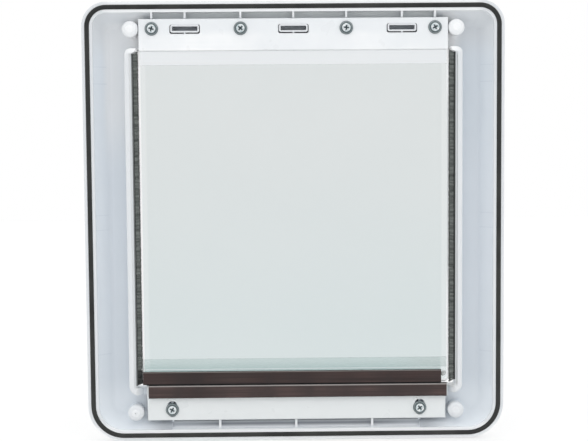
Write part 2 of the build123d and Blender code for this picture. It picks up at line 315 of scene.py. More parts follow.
def screw_surface(node, twist):
    """A turned screw with a cross recess: a section spun round the axis, with the crown pressed in.

    The section is a domed crown, a washer with a rolled edge, the underside, the shank and its point.
    Within the recess the height drops by its depth times a soft step of the distance to the nearer arm,
    less towards the arms' ends, and four shallow ticks lie between the arms. The value with it is painted
    shade: high on the washer and on the walls of the recess, which it darkens.
    """
    low, high = span(node)
    x, z = (low[0] + high[0]) / 2, (low[2] + high[2]) / 2
    seat = low[1] + SCREW_HEAD
    reach = high[1] - seat
    rim = (high[0] - low[0]) / 2
    dome = np.concatenate((np.linspace(0, 2.9, 34), np.linspace(3.05, 4.1, 9))) * MM
    bulge = np.sqrt(np.clip(1 - (dome / CROWN_RADIUS) ** CROWN_SQUARENESS, 0, 1))
    crown = SCREW_HEAD - CROWN_RISE + CROWN_RISE * bulge
    roll = np.linspace(0, QUARTER_TURN, 7)
    edge_radius = rim - WASHER_ROLL + WASHER_ROLL * np.sin(roll)
    edge_height = WASHER_SIDE + WASHER_ROLL * np.cos(roll)
    below_radius = np.array((rim, SHANK_RADIUS, SHANK_RADIUS, 0.0))
    below_height = np.array((WASHER_GAP, WASHER_GAP, SHANK_POINT - reach, -reach))
    spread = np.ones((1, SCREW_SIDES))
    radius = np.concatenate((dome, edge_radius, below_radius))[:, None] * spread
    height = np.concatenate((crown, edge_height, below_height))[:, None] * spread
    angle = np.linspace(0, FULL_TURN, SCREW_SIDES, endpoint=False) + twist
    first, second = np.abs(radius * np.cos(angle)), np.abs(radius * np.sin(angle))
    arm = np.minimum(first, second)
    tick = np.abs(first - second) / math.sqrt(2)
    on_top = height > SCREW_HEAD / 2
    fall = np.clip(1 - (radius / RECESS_REACH) ** 2, 0, 1) ** 0.7
    recess = RECESS_DEPTH * soft_step((RECESS_ARM - arm) / RECESS_SLOPE) * fall
    ticked = (radius > TICK_FROM) & (radius < TICK_TO)
    ticks = TICK_DEPTH * soft_step((TICK_HALF - tick) / TICK_SLOPE) * ticked
    height = height - np.where(on_top & (radius < 3.4 * MM), np.maximum(recess, ticks), 0)
    points = turned(x, z, seat, radius, height)
    # Painted shade: dark on the washer, a little lighter on a band near its edge, and dark on the walls of the
    # recess.
    outer = rise_past(radius, 4.6, 0.3) * (1 - rise_past(radius, 4.9, 0.2))
    washer = rise_past(radius, 3.2, 0.3) * (1 - 0.45 * outer)
    wall = np.where(on_top & (radius < 3.0 * MM), soft_step(recess / RECESS_DEPTH * 1.6), 0)
    return points, lattice(*radius.shape, round_columns=True), np.maximum(washer, wall)


def boss_surface(x, z, hole):
    """A boss's moulded end, spun round its axis: a raised crown, a ring, a quarter-ellipse shoulder, a side.

    The value with it is the share of painted light: one on the crown and nothing on the ring and the shoulder.
    """
    roll = np.linspace(0, QUARTER_TURN, 15)
    ring = BOSS_RADIUS - BOSS_SHOULDER
    inner = np.linspace(hole, ring, 14)
    rise = BOSS_CROWN * (1 - rise_past(inner, 2.6, 0.8))
    radius = np.concatenate(((hole,), inner, ring + BOSS_SHOULDER * np.sin(roll), (BOSS_RADIUS,)))
    shoulder = BOSS_LIFT - BOSS_SHOULDER * (1 - np.cos(roll))
    middle = -PILOT_DEPTH if hole else BOSS_LIFT + BOSS_CROWN
    height = np.concatenate(((middle,), BOSS_LIFT + rise, shoulder, (-BOSS_SIDE,)))
    spread = np.ones((1, BOSS_SIDES))
    points = turned(x, z, 0.0, radius[:, None] * spread, height[:, None] * spread)
    crown = 1 - rise_past(radius, 2.9, 0.9)
    return points, lattice(len(radius), BOSS_SIDES, round_columns=True), crown[:, None] * spread


def edge_glint_ribbon(low, high, corner, stop):
    """A ribbon of painted highlight along the flap's right edge: down its side, round the lower corner and
    along the foot.

    Points lie at a distance in from the outline, from nothing to the ribbon's width, and follow the
    sheet's elliptic edge in depth. Along the ribbon the outline runs straight down, round a quarter circle
    and straight on.
    """
    inward = np.linspace(*GLINT_WIDTH, 9) * MM
    down = np.linspace(AXIS_Z - GLINT_START, low[2] + corner, BODY_ROWS)
    turn = np.linspace(0, QUARTER_TURN, 17)[1:]
    foot = np.linspace(high[0] - corner, stop, GLINT_FOOT_ROWS + 1)[1:]
    x = np.concatenate((np.full(BODY_ROWS, high[0]), high[0] - corner * (1 - np.cos(turn)), foot))
    z = np.concatenate((down, low[2] + corner * (1 - np.sin(turn)), np.full(GLINT_FOOT_ROWS, low[2])))
    angle = np.concatenate((np.zeros(BODY_ROWS), turn, np.full(GLINT_FOOT_ROWS, QUARTER_TURN)))[:, None]
    bulge = np.sqrt(1 - np.clip(1 - inward / FLAP_EDGE, 0, 1) ** 2) * (high[1] - low[1]) / 2
    y = (low[1] + high[1]) / 2 - bulge - SKIN
    places = (x[:, None] - inward * np.cos(angle), y, z[:, None] + inward * np.sin(angle))
    points = np.stack(np.broadcast_arrays(*places), -1)
    return points, lattice(*points.shape[:2])


def glue_surface(x, z, y):
    """A blob of glue: a flattened dome over a wavy outline, with a flat underside."""
    angle = np.linspace(0, FULL_TURN, 48, endpoint=False)
    outline = 1 + 0.1 * np.sin(2 * angle + 0.4) + 0.06 * np.sin(5 * angle)
    out = np.sin(np.linspace(0, QUARTER_TURN, 14))
    radius = np.concatenate((out, (0.0,)))[:, None] * outline
    rise = np.concatenate((np.sqrt(1 - out**2) ** 0.8, (0.0,)))[:, None]
    across = GLUE_HALF_WIDTH * radius * np.cos(angle)
    up = GLUE_HALF_HEIGHT * radius * np.sin(angle)
    points = np.stack(np.broadcast_arrays(x + across, y - GLUE_RISE * rise, z + up), -1)
    return points, lattice(*radius.shape, round_columns=True)


def fibre_surface(pile_node, side, seed):
    """Tapered three-sided fibres from the backing strip to the flap's edge.

    Each fibre is three rings of three points on a line from its root to its tip. Roots are spread evenly at
    random over the strip, and tips lean a little, draw together across the strip and stop at slightly
    different lengths. At the head the tips splay upwards by an amount that dies away down the strip, and at
    the foot they rise on the left and droop on the right in the same way. The value with it is each
    fibre's tone.
    """
    low, high = span(pile_node)
    chance = np.random.default_rng(seed)
    count = int((high[2] - low[2]) / MM * FIBRES_PER_MM)
    root_x, tip_x = (high[0], low[0]) if side > 0 else (low[0], high[0])
    middle, half = (low[1] + high[1]) / 2, (high[1] - low[1]) / 2
    root_y = chance.uniform(-0.94, 0.94, count)
    root_z = chance.uniform(low[2] + 0.1 * MM, high[2] - 0.1 * MM, count)
    tuft = np.sin(root_z / MM * 1.3) + np.sin(root_z / MM * 0.37 + 1)
    lean = (0.35 + 0.25 * tuft) * MM + chance.normal(0, 0.3 * MM, count)
    short = chance.uniform(0.0, 0.6, count) ** 2 * MM - FIBRE_OVERREACH
    root = np.stack((np.full(count, root_x), middle + root_y * half, root_z), -1)
    droop = max(0.0, -FIBRE_FOOT[side])
    foot = FIBRE_FOOT[side] * np.exp((low[2] - root_z) / FIBRE_FOOT_REACH)
    head = FIBRE_HEAD * np.exp((root_z - high[2]) / FIBRE_HEAD_REACH)
    tip_z = np.clip(root_z + lean + foot + head, low[2] - droop, high[2] + FIBRE_HEAD)
    tip = np.stack((tip_x + side * short, middle + root_y * half * 0.72, tip_z), -1)
    step = np.array((0, 0.55, 1))
    bow = np.array((0, FIBRE_BOW, 0)) * chance.normal(0, 1, (count, 1))
    line = root[:, None] + (tip - root)[:, None] * step[:, None]
    line[..., 2] = np.clip(line[..., 2] + bow, low[2] - droop * step, high[2] + FIBRE_HEAD * step)
    angle = chance.uniform(0, FULL_TURN, (count, 1)) + np.arange(3) * FULL_TURN / 3 * side
    ring = np.stack((0 * angle, np.cos(angle), np.sin(angle)), -1)
    thick = FIBRE_RADIUS * np.array((1.0, 1.0, 0.75))
    points = line[:, :, None] + ring[:, None] * thick[:, None, None]
    one = lattice(3, 3, round_columns=True)
    faces = (one[None] + 9 * np.arange(count)[:, None, None]).reshape(-1, 4)
    level = root_z / MM + 1.6 * root_y
    wander = level * 1.9 + 1.4 * np.sin(level * 0.43)
    tufts = 0.5 + 0.32 * np.sin(wander) + 0.18 * np.sin(level * 0.61 + 2)
    tone = 0.3 * chance.uniform(0, 1, count) + 0.7 * tufts
    return points, faces, np.repeat(tone, 9)


def node(tree, kind, settings=None, **sockets):
    """Adds a shader node, with its settings and its inputs set or linked by name."""
    made = tree.nodes.new(kind)
    for key, value in (settings or {}).items():
        setattr(made, key, value)
    for key, value in sockets.items():
        fill(tree, made.inputs[key.replace("_", " ")], value)
    return made


def fill(tree, socket, value):
    """Links a socket to another one, or sets it."""
    if isinstance(value, bpy.types.NodeSocket):
        tree.links.new(value, socket)
    else:
        socket.default_value = value


def sums(tree, kind, first, second=0.0):
    """One step of arithmetic on two values."""
    made = tree.nodes.new("ShaderNodeMath")
    made.operation = kind
    fill(tree, made.inputs[0], first)
    fill(tree, made.inputs[1], second)
    return made.outputs[0]


def product(tree, *shares):
    """Several shares multiplied together."""
    result = shares[0]
    for share in shares[1:]:
        result = sums(tree, "MULTIPLY", result, share)
    return result


def most(tree, *shares):
    """The greatest of several shares."""
    result = shares[0]
    for share in shares[1:]:
        result = sums(tree, "MAXIMUM", result, share)
    return result


def distance(tree, value, middle):
    """How far a value lies from a middle, either way."""
    return sums(tree, "ABSOLUTE", sums(tree, "SUBTRACT", value, middle))


def ramp(tree, value, low, high, first=0.0, last=1.0):
    """A smooth step of a value between two bounds."""
    made = node(tree, "ShaderNodeMapRange", {"interpolation_type": "SMOOTHSTEP"}, Value=value, From_Min=low,
                From_Max=high, To_Min=first, To_Max=last)
    return made.outputs["Result"]


def zone(tree, value, *bounds):
    """A product of smooth steps of a length, each between two bounds in millimetres."""
    return product(tree, *(ramp(tree, value, low * MM, high * MM) for low, high in bounds))


def parts_of(tree, place):
    """The three parts of a place: across, depth and height."""
    parts = node(tree, "ShaderNodeSeparateXYZ", Vector=place).outputs
    return parts["X"], parts["Y"], parts["Z"]


def mixed(tree, share, first, second):
    """A mix of two colours."""
    made = tree.nodes.new("ShaderNodeMix")
    made.data_type = "RGBA"
    fill(tree, made.inputs["Factor"], share)
    fill(tree, made.inputs[6], first)
    fill(tree, made.inputs[7], second)
    return made.outputs[2]


def group(name, inputs, outputs):
    """An empty node group with named sockets, and its two ends."""
    tree = bpy.data.node_groups.new(name, "ShaderNodeTree")
    for label, kind, value in inputs:
        made = tree.interface.new_socket(label, in_out="INPUT", socket_type=kind)
        if value is not None:
            made.default_value = value
    for label, kind in outputs:
        tree.interface.new_socket(label, in_out="OUTPUT", socket_type=kind)
    return tree, tree.nodes.new("NodeGroupInput").outputs, tree.nodes.new("NodeGroupOutput").inputs


def clouded_group():
    """Two shades of a colour in soft clouds."""
    tree, given, result = group("clouded_colour", [
        ("Place", "NodeSocketVector", None), ("Scale", "NodeSocketFloat", 20.0),
        ("Light", "NodeSocketColor", None), ("Dark", "NodeSocketColor", None)], [("Colour", "NodeSocketColor")])
    clouds = node(
        tree, "ShaderNodeTexNoise", Vector=given["Place"], Scale=given["Scale"], Detail=4.0, Roughness=0.55)
    share = ramp(tree, clouds.outputs["Fac"], 0.3, 0.7)
    tree.links.new(mixed(tree, share, given["Dark"], given["Light"]), result["Colour"])
    return tree


def grain_group():
    """Fine moulded grain: a height for the bump and a share for the gloss."""
    tree, given, result = group("moulded_grain", [
        ("Place", "NodeSocketVector", None), ("Scale", "NodeSocketFloat", 900.0),
        ("Dull", "NodeSocketFloat", 0.45), ("Bright", "NodeSocketFloat", 0.35)],
        [("Height", "NodeSocketFloat"), ("Roughness", "NodeSocketFloat")])
    fine = node(tree, "ShaderNodeTexNoise", Vector=given["Place"], Scale=given["Scale"], Detail=2.0)
    coarse = node(tree, "ShaderNodeTexNoise", Vector=given["Place"], Scale=60.0, Detail=3.0)
    tree.links.new(fine.outputs["Fac"], result["Height"])
    share = node(tree, "ShaderNodeMapRange", Value=coarse.outputs["Fac"], From_Min=0.3, From_Max=0.7,
                 To_Min=given["Bright"], To_Max=given["Dull"])
    tree.links.new(share.outputs["Result"], result["Roughness"])
    return tree


def drawn_group():
    """Lines drawn along X by a die: noise stretched along the strip."""
    tree, given, result = group("drawn_lines", [
        ("Place", "NodeSocketVector", None), ("Along", "NodeSocketFloat", 6.0),
        ("Across", "NodeSocketFloat", 1500.0)], [("Mask", "NodeSocketFloat")])
    size = node(tree, "ShaderNodeCombineXYZ", X=given["Along"], Y=given["Across"], Z=given["Across"])
    stretch = node(tree, "ShaderNodeVectorMath", {"operation": "MULTIPLY"})
    tree.links.new(given["Place"], stretch.inputs[0])
    tree.links.new(size.outputs[0], stretch.inputs[1])
    lines = node(tree, "ShaderNodeTexNoise", Vector=stretch.outputs[0], Scale=1.0, Detail=3.0, Roughness=0.6)
    tree.links.new(ramp(tree, lines.outputs["Fac"], 0.35, 0.68), result["Mask"])
    return tree


def sink_group():
    """A faint level mark on the tray's slope at one height, as thick spots leave when a moulding cools."""
    tree, given, result = group("sink_line", [
        ("Place", "NodeSocketVector", None), ("Height", "NodeSocketFloat", 0.0),
        ("Width", "NodeSocketFloat", 0.0008)], [("Mask", "NodeSocketFloat")])
    across, depth, height = parts_of(tree, given["Place"])
    away = sums(tree, "DIVIDE", distance(tree, height, given["Height"]), given["Width"])
    line = sums(tree, "SUBTRACT", 1.0, ramp(tree, away, 0.0, 1.0))
    on_slope = zone(tree, sums(tree, "ABSOLUTE", across), (150.5, 152), (162, 160))
    door_side = zone(tree, depth, (12.5, 11.5))
    tree.links.new(product(tree, line, on_slope, door_side), result["Mask"])
    return tree


CLOUDED = clouded_group()
GRAIN = grain_group()
DRAWN = drawn_group()
SINK = sink_group()


def fresh(name):
    """A new material, its tree, its surface shader and its object coordinates."""
    look = bpy.data.materials.new(name)
    look.use_nodes = True
    tree = look.node_tree
    place = tree.nodes.new("ShaderNodeTexCoord").outputs["Object"]
    return look, tree, tree.nodes["Principled BSDF"], place


def use(tree, made, **sockets):
    """Places a node group in a material."""
    return node(tree, "ShaderNodeGroup", {"node_tree": made}, **sockets)


def cloud(tree, place, scale, light, dark):
    """A colour that drifts between two shades."""
    return use(tree, CLOUDED, Place=place, Scale=scale, Light=light, Dark=dark).outputs["Colour"]


def drawn(tree, place, along, across):
    """The share of drawn lines at a place."""
    return use(tree, DRAWN, Place=place, Along=along, Across=across).outputs["Mask"]


def carried(tree, name):
    """A value that the mesh carries at its points."""
    return node(tree, "ShaderNodeAttribute", {"attribute_name": name}).outputs["Fac"]


def paint(tree, surface, tint):
    """Feeds a colour into the surface."""
    tree.links.new(tint, surface.inputs["Base Color"])


def plain(surface, **values):
    """Sets plain inputs of the surface by name."""
    for key, value in values.items():
        surface.inputs[key.replace("_", " ")].default_value = value


def raise_grain(tree, surface, height, strength, size):
    """Feeds a height into the surface as a bump."""
    bump = node(tree, "ShaderNodeBump", Strength=strength, Distance=size, Height=height)
    tree.links.new(bump.outputs["Normal"], surface.inputs["Normal"])


def grained(tree, surface, place, scale, dull, bright, strength, size):
    """Gives the surface a grain, in its gloss and as a bump."""
    grain = use(tree, GRAIN, Place=place, Scale=scale, Dull=dull, Bright=bright)
    tree.links.new(grain.outputs["Roughness"], surface.inputs["Roughness"])
    raise_grain(tree, surface, grain.outputs["Height"], strength, size)


def dulled(tree, surface, place, scale, dull, bright, shade):
    """Gives the surface a grain in its gloss, with none where it lies in shade."""
    grain = use(tree, GRAIN, Place=place, Scale=scale, Dull=dull, Bright=bright)
    tree.links.new(most(tree, grain.outputs["Roughness"], shade), surface.inputs["Roughness"])


def tray_light_and_shade(tree, at):
    """The rim's and the tray's colours, with painted highlights on the lips, painted shade in the tray and at
    its top, and painted light on its lower slopes, on its upper left and beside the head bar.
    """
    rim = cloud(tree, at.place, 13.0, colour(0.77, 0.785, 0.80), colour(0.745, 0.765, 0.785))
    # Painted highlights: the lower and the upper inner lip are painted brighter than the rim.
    lower_lip = zone(tree, at.height, (-163, -168))
    rim = mixed(tree, lower_lip, rim, colour(0.89, 0.90, 0.91))
    upper_lip = product(tree, zone(tree, at.height, (165.5, 168)), zone(tree, at.from_middle, (155, 145)))
    rim = mixed(tree, upper_lip, rim, colour(0.90, 0.91, 0.92))
    # Painted shade: the tray is painted darker and bluer than the rim, and greyer and darker still at its top.
    tray = cloud(tree, at.place, 9.0, colour(0.70, 0.74, 0.785), colour(0.68, 0.725, 0.77))
    tray = mixed(tree, zone(tree, at.height, (130, 155)), tray, colour(0.675, 0.70, 0.725))
    # Painted light that lightens the tray's floor at its upper left.
    upper_left = product(
        tree, zone(tree, at.across, (-120, -140)), zone(tree, at.height, (30, 100)),
        zone(tree, at.depth, (8.5, 12.9)))
    tray = mixed(tree, upper_left, tray, colour(0.78, 0.795, 0.81))
    # Painted light on the lower slopes, which face the light from above.
    tray = mixed(tree, zone(tree, at.height, (-125, -150)), tray, colour(0.77, 0.81, 0.85))
    # Painted shade: the deeper parts take the tray's darker colour.
    tint = mixed(tree, zone(tree, at.depth, (0.8, 5.5)), rim, tray)
    from_bevel = sums(tree, "ADD", at.depth, product(tree, at.height, BEVEL_SLOPE))
    # Painted light: white beside the head bar's ends, taking back their shadow.
    beside_bar = product(
        tree, zone(tree, at.from_middle, (138, 128), (119.5, 121.5)),
        zone(tree, at.height, (134.5, 138), (169, 162)),
        zone(tree, at.depth, (14.2, 13.5)), zone(tree, from_bevel, (115.8, 114.8)))
    return mixed(tree, beside_bar, tint, colour(0.98, 0.985, 0.99))


def sink_tint(tree, at, tint):
    """Faint grey marks across the slopes."""
    marks = 0.0
    for height, width in SINK_MARKS:
        mark = use(tree, SINK, Place=at.place, Height=height * MM, Width=width * MM)
        marks = sums(tree, "ADD", mark.outputs["Mask"], marks)
    return mixed(tree, product(tree, marks, SINK_STRENGTH), tint, colour(0.60, 0.645, 0.70))


def pocket_light_and_shade(tree, at, tint):
    """Painted light and shade in the pockets: lighter above the head bar, a painted shadow of the sill bar
    below it and past its ends, and a painted highlight on the rib.
    """
    bar_top, sill_foot = BAR_HIGH[2] / MM, SILL_LOW[2] / MM
    deep = product(
        tree, zone(tree, at.depth, (6.8, 8.0), (9.2, 8.8)), zone(tree, at.from_middle, (114.5, 113.6)))
    above_bar = zone(tree, at.height, (bar_top - 1, bar_top), (169.7, 169.2))
    # Painted light: the pocket above the head bar is painted lighter and neutral.
    tint = mixed(tree, product(tree, deep, above_bar), tint, colour(0.77, 0.795, 0.80))
    below_sill = zone(tree, at.height, (sill_foot + 2, sill_foot + 1), (-170.6, -170.1))
    # Painted shadow of the sill bar in the pocket below it: darkest in the middle, lighter near the bar and
    # white towards the lip.
    shadow = colour(0.44, 0.465, 0.50)
    pocket = mixed(tree, zone(tree, at.from_middle, (60, 100)), colour(0.25, 0.265, 0.29), shadow)
    upper = product(tree, zone(tree, at.height, (-166.4, -165.0)), 0.6)
    pocket = mixed(tree, upper, pocket, colour(0.55, 0.575, 0.60))
    pocket = mixed(tree, zone(tree, at.height, (-166.6, -169.9)), pocket, colour(0.92, 0.93, 0.95))
    pocket = mixed(tree, zone(tree, at.from_middle, (98, 113.6)), pocket, tint)
    tint = mixed(tree, product(tree, deep, below_sill), tint, pocket)
    # Painted shadow past the sill bar's ends.
    past_end = product(
        tree, zone(tree, at.from_middle, (101.2, 102.0), (130, 104)),
        zone(tree, at.depth, (1.2, 3.0), (9.6, 9.2)), below_sill)
    tint = mixed(tree, past_end, tint, shadow)
    # Painted highlight on the rib's edge.
    rib = product(
        tree, zone(tree, at.from_middle, (99.5, 98.5)),
        zone(tree, at.depth, (5.8, 6.1), (6.7, 6.5)), below_sill)
    return mixed(tree, rib, tint, colour(0.92, 0.93, 0.94))


def passage_tint(tree, at, tint):
    """The passage's right wall, in the brush's shade, and the ledge at its foot."""
    wall = product(
        tree, zone(tree, at.across, (131.0, 131.4), (132.1, 131.7)),
        zone(tree, sums(tree, "ABSOLUTE", at.height), (136.5, 132.5)), 0.85)
    tint = mixed(tree, wall, tint, colour(0.41, 0.43, 0.43))
    ledge = product(
        tree, zone(tree, at.height, (-134.0, -135.0), (-137.5, -136.5)),
        zone(tree, at.across, (117, 121), (130.3, 129.8)))
    return mixed(tree, ledge, tint, colour(0.70, 0.72, 0.73))


def moulded_white():
    """White moulding with painted light and shade in each part of the tray, fine grain and faint sink marks."""
    look, tree, surface, place = fresh("moulded_white")
    across, depth, height = parts_of(tree, place)
    at = SimpleNamespace(
        place=place, across=across, depth=depth, height=height, from_middle=sums(tree, "ABSOLUTE", across))
    tint = sink_tint(tree, at, tray_light_and_shade(tree, at))
    paint(tree, surface, passage_tint(tree, at, pocket_light_and_shade(tree, at, tint)))
    grained(tree, surface, place, 1100.0, 0.46, 0.36, 0.12, 0.0002)
    plain(surface, IOR=1.46)
    return look


def boss_white():
    """A moulded boss with painted light and shade: bright on its crown and greyed by painted shade round the
    shoulder.
    """
    look, tree, surface, place = fresh("boss_white")
    end = cloud(tree, place, 300.0, colour(0.97, 0.975, 0.98), colour(0.92, 0.93, 0.935))
    paint(tree, surface, mixed(tree, carried(tree, "crown"), colour(0.75, 0.77, 0.79), end))
    grained(tree, surface, place, 1100.0, 0.46, 0.36, 0.12, 0.0002)
    return look


def drawn_white(name, light, dark, strength, shaded_zone):
    """White drawn strip with faint lines along it, greyer near the top of the frame, and painted black as shade
    in a given zone.
    """
    look, tree, surface, place = fresh(name)
    lines = drawn(tree, place, 7.0, 900.0)
    across, depth, height = parts_of(tree, place)
    share = most(tree, product(tree, lines, strength), zone(tree, height, (148, 156)))
    tone = mixed(tree, share, cloud(tree, place, 11.0, light, dark), dark)
    shade = shaded_zone(tree, across, depth, height)
    # Painted shade: black in the zone that lies in shade.
    paint(tree, surface, mixed(tree, shade, tone, colour(0.02, 0.021, 0.022)))
    dulled(tree, surface, place, 700.0, 0.36, 0.26, shade)
    raise_grain(tree, surface, lines, 0.05, 0.0001)
    return look


def bar_cuts(tree, across, depth, height):
    """The walls of the head bar's peg slots, which lie in shade."""
    near_row = zone(tree, distance(tree, height, (BAR_LOW[2] + BAR_HIGH[2]) / 2), (10.5, 10.0))
    inside = zone(tree, sums(tree, "ABSOLUTE", across), (116, 115))
    return product(tree, near_row, inside, zone(tree, depth, (1.4, 1.8)))


def sill_top(tree, across, depth, height):
    """The sill bar's upper edge, in the dark between the magnets."""
    top = SILL_HIGH[2] / MM
    return zone(tree, height, (top - 0.4, top - 0.1))


def black_rubber():
    """Extruded rubber: dull black with grey bloom and fine pitting."""
    look, tree, surface, place = fresh("black_rubber")
    paint(tree, surface, cloud(tree, place, 38.0, colour(0.030, 0.031, 0.028), colour(0.014, 0.015, 0.014)))
    grained(tree, surface, place, 1600.0, 0.72, 0.55, 0.25, 0.0002)
    return look


def brush_backing():
    """Dark woven backing strip, its threads across the strip, greyer on the left where more light falls."""
    look, tree, surface, place = fresh("brush_backing")
    waves = node(tree, "ShaderNodeTexWave", {"bands_direction": "Z"}, Vector=place, Scale=320.0, Distortion=1.5)
    threads = waves.outputs["Fac"]
    right = mixed(tree, threads, colour(0.03, 0.033, 0.032), colour(0.06, 0.066, 0.064))
    left = mixed(tree, threads, colour(0.13, 0.14, 0.14), colour(0.19, 0.20, 0.20))
    across = parts_of(tree, place)[0]
    paint(tree, surface, mixed(tree, zone(tree, across, (-10, 10)), left, right))
    plain(surface, Roughness=0.85)
    raise_grain(tree, surface, threads, 0.4, 0.0002)
    return look


def brush_fibre():
    """Grey fibres, each with its own tone, darkened by painted shade at the root and at the tip, and darker at
    the left brush's foot.
    """
    look, tree, surface, place = fresh("brush_fibre")
    across, _, height = parts_of(tree, place)
    from_middle = sums(tree, "ABSOLUTE", across)
    fibre = mixed(tree, carried(tree, "tone"), colour(0.08, 0.09, 0.082), colour(0.38, 0.41, 0.385))
    # Painted shade at the fibres' roots and tips.
    root = zone(tree, from_middle, (128.5, 129.2))
    tip = product(tree, zone(tree, from_middle, (126.1, 125.6)), 0.7)
    left_foot = product(tree, zone(tree, across, (10, -10)), zone(tree, height, (-118, -122)), 0.85)
    paint(tree, surface, mixed(tree, most(tree, root, tip, left_foot), fibre, colour(0.03, 0.032, 0.03)))
    plain(surface, Roughness=0.6, Sheen_Weight=0.2)
    return look


def clear_flap():
    """Clear sheet: paler at the head, greener towards the foot, with painted light in a margin round its
    outline and a white painted highlight along its edges.
    """
    look, tree, surface, place = fresh("clear_flap")
    height = parts_of(tree, place)[2]
    away = carried(tree, "away")
    haze = cloud(tree, place, 7.0, colour(0.735, 0.765, 0.765), colour(0.72, 0.755, 0.755))
    foot = cloud(tree, place, 7.0, colour(0.685, 0.75, 0.755), colour(0.67, 0.74, 0.745))
    sheet = mixed(tree, zone(tree, height, (90, -130)), haze, foot)
    # Painted light: a lighter margin round the outline.
    margin = product(tree, zone(tree, away, (7.0, 4.5)), 0.25)
    sheet = mixed(tree, margin, sheet, colour(0.9, 0.91, 0.91))
    head = zone(tree, height, (126.7, 127.5))
    sheet = mixed(tree, head, sheet, colour(0.875, 0.895, 0.91))
    # Painted highlight: white along the sheet's edges.
    cut = zone(tree, away, (1.9, 1.3))
    paint(tree, surface, mixed(tree, cut, sheet, WHITE))
    tree.links.new(ramp(tree, away, 1.9 * MM, 1.2 * MM, 0.04, 0.55), surface.inputs["Roughness"])
    plain(surface, Transmission_Weight=1.0, IOR=1.45)
    return look


def milky_strip():
    """Milky clear strip with fine streaks along it."""
    look, tree, surface, place = fresh("milky_strip")
    lines = drawn(tree, place, 5.0, 700.0)
    paint(tree, surface, mixed(tree, lines, colour(0.985, 0.99, 0.99), colour(0.96, 0.97, 0.975)))
    plain(surface, Transmission_Weight=1.0, Roughness=0.3, IOR=1.4)
    return look


def green_carrier():
    """Clear carrier strip whose green deepens downwards in painted shade, greyer to the right, with a painted
    highlight along its foot, clear at its end.
    """
    look, tree, surface, place = fresh("green_carrier")
    across, _, height = parts_of(tree, place)
    lines = drawn(tree, place, 5.0, 500.0)
    upper = mixed(tree, lines, colour(0.81, 0.86, 0.85), colour(0.79, 0.845, 0.835))
    # Painted shade: the green deepens downwards towards the magnet.
    tone = mixed(tree, zone(tree, height, (-112.5, -122.5)), upper, colour(0.62, 0.71, 0.70))
    right = product(tree, zone(tree, across, (70, 117)), 0.5)
    tone = mixed(tree, right, tone, colour(0.72, 0.73, 0.72))
    # Painted highlight: a white line along the foot, above the magnet.
    foot = product(tree, zone(tree, height, (-121.4, -121.1), (-120.3, -120.6)), 0.5)
    low = ramp(tree, height, -119.8 * MM, -120.8 * MM, 0.3, 1.0)
    end = product(tree, zone(tree, across, (117.5, 119.5)), low)
    paint(tree, surface, mixed(tree, most(tree, foot, end), tone, WHITE))
    plain(surface, Transmission_Weight=1.0, Roughness=0.08, IOR=1.42)
    return look


def magnet_brown(name, light, dark, pale, low, high, line, under):
    """Flexible magnet strip: dull brown with drawn lines, a pale painted highlight along its top edge, and
    painted shade on its top face behind the edge and at its foot.

    The line and the shade under the strip are given in millimetres.
    """
    look, tree, surface, place = fresh(name)
    lines = drawn(tree, place, 9.0, 700.0)
    body = cloud(tree, place, 30.0, light, dark)
    tone = mixed(tree, product(tree, lines, 0.8), body, dark)
    _, depth, height = parts_of(tree, place)
    front, foot, top = low[1] / MM, low[2] / MM, high[2] / MM
    # Painted highlight: a pale line along the top edge.
    top_highlight = zone(tree, height, (top - line, top - line + 0.3))
    tone = mixed(tree, top_highlight, tone, pale)
    # Painted shade: black on the top face behind the front edge and along the foot.
    behind = zone(tree, depth, (front + 0.3, front + 0.6))
    top_edge = product(tree, behind, zone(tree, height, (top - 0.2, top - 0.1)))
    shade = most(tree, top_edge, zone(tree, height, (foot + under, foot + under / 3)))
    paint(tree, surface, mixed(tree, shade, tone, colour(0.004, 0.003, 0.003)))
    dulled(tree, surface, place, 1300.0, 0.72, 0.5, shade)
    raise_grain(tree, surface, lines, 0.2, 0.0002)
    return look


def bright_zinc():
    """Zinc plate: bluish metal with slight mottling in colour and gloss, dark where the screw carries painted
    shade.
    """
    look, tree, surface, place = fresh("bright_zinc")
    mottle = cloud(tree, place, 650.0, WHITE, colour(0.50, 0.60, 0.62))
    # Painted shade, from the value the screw carries.
    paint(tree, surface, mixed(tree, carried(tree, "dull"), mottle, colour(0.10, 0.132, 0.138)))
    grained(tree, surface, place, 1100.0, 0.5, 0.3, 0.7, 0.0006)
    plain(surface, Metallic=0.5)
    return look


def edge_glint_white():
    """Painted highlight on the flap's edge, whiter towards its head and its foot."""
    look, tree, surface, place = fresh("edge_glint_white")
    height = parts_of(tree, place)[2]
    rough = cloud(tree, place, 250.0, colour(0.98, 0.98, 0.98), colour(0.93, 0.94, 0.94))
    ends = zone(tree, distance(tree, height, 25 * MM), (60, 85))
    paint(tree, surface, mixed(tree, ends, colour(0.72, 0.74, 0.74), rough))
    plain(surface, Roughness=0.6)
    return look


def cloudy_glue():
    """Set glue, grey and cloudy."""
    look, tree, surface, place = fresh("cloudy_glue")
    paint(tree, surface, cloud(tree, place, 600.0, colour(0.66, 0.68, 0.67), colour(0.36, 0.38, 0.37)))
    plain(surface, Roughness=0.3)
    return look


MOULDED = moulded_white()
BOSS_WHITE = boss_white()
EDGE_GLINT = edge_glint_white()
BAR_WHITE = drawn_white("bar_white", colour(0.985, 0.985, 0.985), colour(0.85, 0.87, 0.885), 0.2, bar_cuts)
